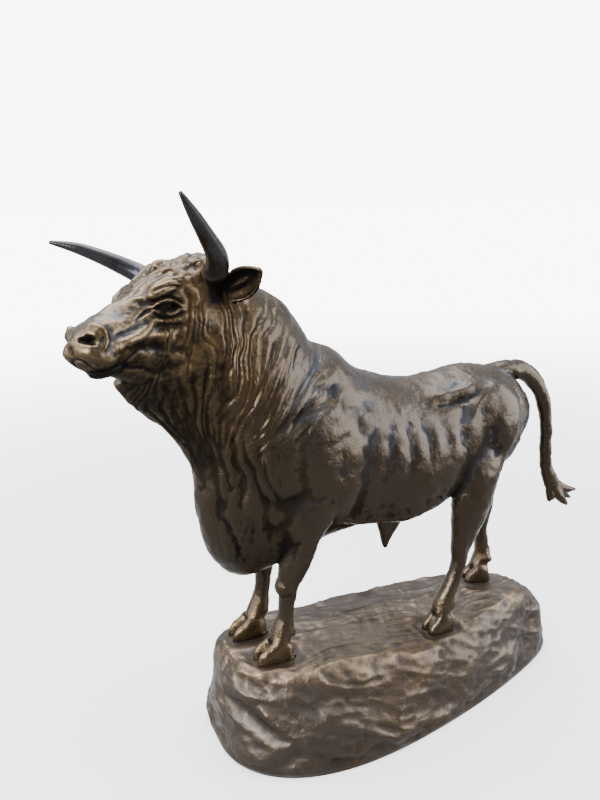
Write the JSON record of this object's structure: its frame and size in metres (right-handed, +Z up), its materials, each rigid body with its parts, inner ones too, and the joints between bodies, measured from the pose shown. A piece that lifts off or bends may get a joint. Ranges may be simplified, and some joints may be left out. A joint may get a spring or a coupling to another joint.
{
  "type": "animal statuette",
  "caption": "Dark bronze standing bull with its head turned to one side, long curved horns and a hanging tail, on a separately cast rocky oval base.",
  "frame": {"origin": "middle of the flat underside of the rocky base", "axes": "+Z up, -X the way the body faces, +X towards the tail, -Y the bull's left flank, which is the side the head turns to"},
  "size_m": [0.4664, 0.1694, 0.4431],
  "materials": {
    "bull_bronze": "dark brown patinated bronze, waxed, rubbed golden on edges and lower legs",
    "base_bronze": "dark brown patinated bronze with a violet cast, rubbed golden along the upper edge"
  },
  "bodies": {
    "root": {"bull": "bull_bronze", "rock_base": "base_bronze"}
  },
  "joints": []
}
